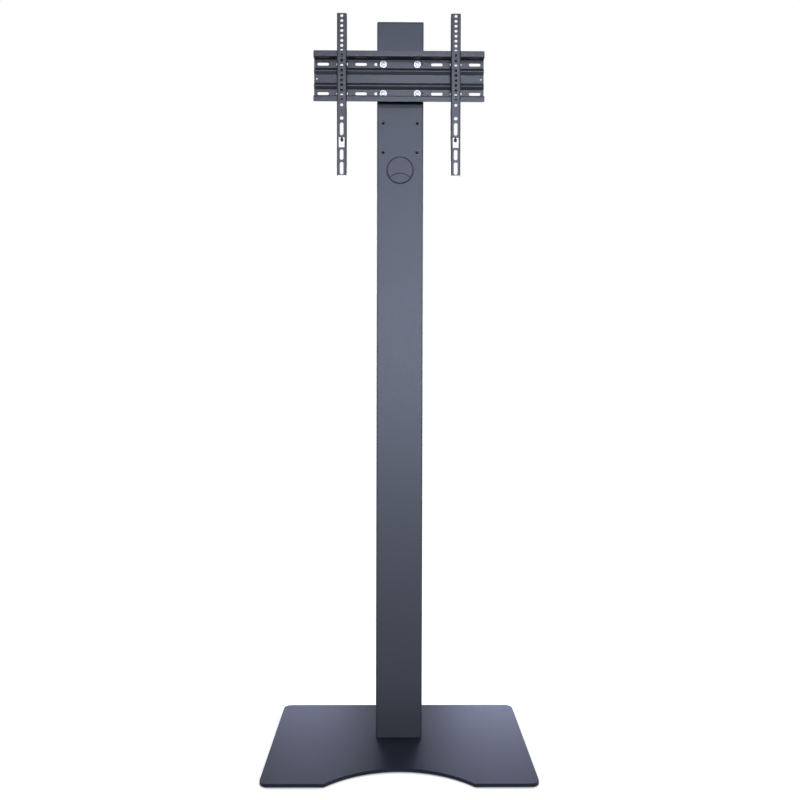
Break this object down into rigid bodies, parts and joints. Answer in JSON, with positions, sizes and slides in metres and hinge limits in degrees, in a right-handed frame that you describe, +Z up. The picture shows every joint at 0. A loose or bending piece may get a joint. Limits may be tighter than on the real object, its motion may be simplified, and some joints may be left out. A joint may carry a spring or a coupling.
{
  "type": "tv stand with mount",
  "caption": "Floor stand for a flat screen: arched steel base plate, tall cable column and a folded rail plate with two sliding hook-on channel brackets.",
  "frame": {"origin": "on the floor, under the centre of the base plate", "axes": "+X to the right as seen from the front, +Y to the back, +Z up; the screen side faces -Y"},
  "size_m": [0.65, 0.45, 1.8719],
  "materials": {
    "powder_coated_steel": "fine matt powder coat, near black with a blue cast",
    "zinc_plated_steel": "bright zinc",
    "blackened_steel": "oiled black",
    "black_plastic": "fine moulded matt",
    "rubber_pad": "matt"
  },
  "bodies": {
    "stand": {"base_plate": "powder_coated_steel", "pad_front_left": "rubber_pad", "pad_front_right": "rubber_pad", "pad_rear_left": "rubber_pad", "pad_rear_right": "rubber_pad", "column_tube": "powder_coated_steel", "column_foot": "powder_coated_steel", "base_bolts": "zinc_plated_steel", "column_cap": "black_plastic", "rivet_nuts_upper": "blackened_steel", "rivet_nuts_lower": "blackened_steel", "mount_plate": "powder_coated_steel", "mount_washers": "zinc_plated_steel", "mount_screws": "zinc_plated_steel", "upper_grommet_ring": "black_plastic", "lower_grommet_ring": "black_plastic"},
    "left_bracket": {"left_bracket": "powder_coated_steel"},
    "right_bracket": {"right_bracket": "powder_coated_steel"},
    "left_lock_screw": {"left_lock_screw": "blackened_steel"},
    "right_lock_screw": {"right_lock_screw": "blackened_steel"},
    "upper_grommet_lid": {"upper_grommet_lid": "black_plastic"},
    "lower_grommet_lid": {"lower_grommet_lid": "black_plastic"}
  },
  "joints": [
    {"name": "left_bracket_slide", "type": "slide", "parent": "stand", "child": "left_bracket", "axis": [1, 0, 0], "range_m": [-0.058, 0.099]},
    {"name": "right_bracket_slide", "type": "slide", "parent": "stand", "child": "right_bracket", "axis": [1, 0, 0], "range_m": [-0.091, 0.06]},
    {"name": "left_lock_screw_travel", "type": "slide", "parent": "left_bracket", "child": "left_lock_screw", "axis": [0, 0, -1], "range_m": [0, 0.004]},
    {"name": "right_lock_screw_travel", "type": "slide", "parent": "right_bracket", "child": "right_lock_screw", "axis": [0, 0, -1], "range_m": [0, 0.004]},
    {"name": "upper_lid_turn", "type": "hinge", "parent": "stand", "child": "upper_grommet_lid", "pos_m": [0, 0.014, 1.483], "axis": [0, -1, 0], "range_deg": [0, 180]},
    {"name": "lower_lid_turn", "type": "hinge", "parent": "stand", "child": "lower_grommet_lid", "pos_m": [0, 0.074, 0.12], "axis": [0, 1, 0], "range_deg": [0, 180]}
  ]
}
